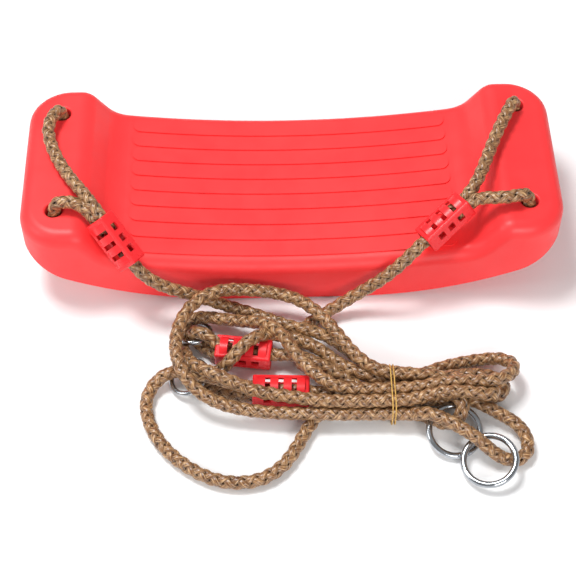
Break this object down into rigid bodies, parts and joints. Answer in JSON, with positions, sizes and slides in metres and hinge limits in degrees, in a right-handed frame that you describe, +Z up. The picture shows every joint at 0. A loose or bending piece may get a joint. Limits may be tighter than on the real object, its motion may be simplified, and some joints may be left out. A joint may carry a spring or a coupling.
{
  "type": "board swing",
  "caption": "Curved moulded board swing seat with a raised end at each side, hung on two plaited ropes with snap clamps and steel rings, its ropes folded into a tied hank on the floor",
  "frame": {"origin": "on the floor under the middle of the seat", "axes": "+X along the seat to its right end, +Y to its rear edge, +Z up"},
  "size_m": [0.43, 0.3503, 0.0975],
  "materials": {
    "seat_plastic": "red blow-moulded polyethylene, fine satin grain",
    "clamp_plastic": "red injection-moulded plastic, semi-gloss",
    "rope": "plaited brown-gold polypropylene rope, silky",
    "zinc_steel": "bright zinc-plated round steel wire",
    "gold_wire": "thin gold-coloured tie wire"
  },
  "bodies": {
    "root": {"fold_d_rope": "rope", "fold_e_rope": "rope", "fold_f_rope": "rope", "front_ring_fold_rope": "rope", "left_bridle_rope": "rope", "left_eye_end_rope": "rope", "left_eye_rope": "rope", "left_lead_rope": "rope", "left_lower_clamp_housing": "clamp_plastic", "left_lower_clamp_lock": "clamp_plastic", "left_tail_rope": "rope", "left_upper_clamp_housing": "clamp_plastic", "left_upper_clamp_lock": "clamp_plastic", "loop_a_rope": "rope", "loop_b_rope": "rope", "loop_c_rope": "rope", "rear_ring_fold_rope": "rope", "right_bridle_rope": "rope", "right_eye_end_rope": "rope", "right_eye_rope": "rope", "right_lead_rope": "rope", "right_lower_clamp_housing": "clamp_plastic", "right_lower_clamp_lock": "clamp_plastic", "right_tail_rope": "rope", "right_upper_clamp_housing": "clamp_plastic", "right_upper_clamp_lock": "clamp_plastic", "seat": "seat_plastic", "tied_hank": "rope", "twist_tie": "gold_wire"},
    "front_ring": {"front_hanging_ring": "zinc_steel"},
    "rear_ring": {"rear_hanging_ring": "zinc_steel"},
    "left_slider_ring": {"left_adjuster_ring": "zinc_steel"},
    "right_slider_ring": {"right_adjuster_ring": "zinc_steel"}
  },
  "joints": [
    {"name": "front_ring_swing", "type": "hinge", "parent": "root", "child": "front_ring", "pos_m": [0.132, -0.231, 0.0196], "axis": [-0.8307, 0.3708, 0.4153], "range_deg": [0, 50]},
    {"name": "rear_ring_turn", "type": "hinge", "parent": "root", "child": "rear_ring", "pos_m": [0.1185, -0.2185, 0.0086], "axis": [0.0953, -0.286, 0.9535], "continuous": true},
    {"name": "left_slider_ring_turn", "type": "hinge", "parent": "root", "child": "left_slider_ring", "pos_m": [-0.0815, -0.122, 0.0085], "axis": [0, 0.3872, 0.922], "continuous": true},
    {"name": "right_slider_ring_turn", "type": "hinge", "parent": "root", "child": "right_slider_ring", "pos_m": [-0.083, -0.164, 0.0084], "axis": [-0.3552, 0, 0.9348], "continuous": true}
  ]
}
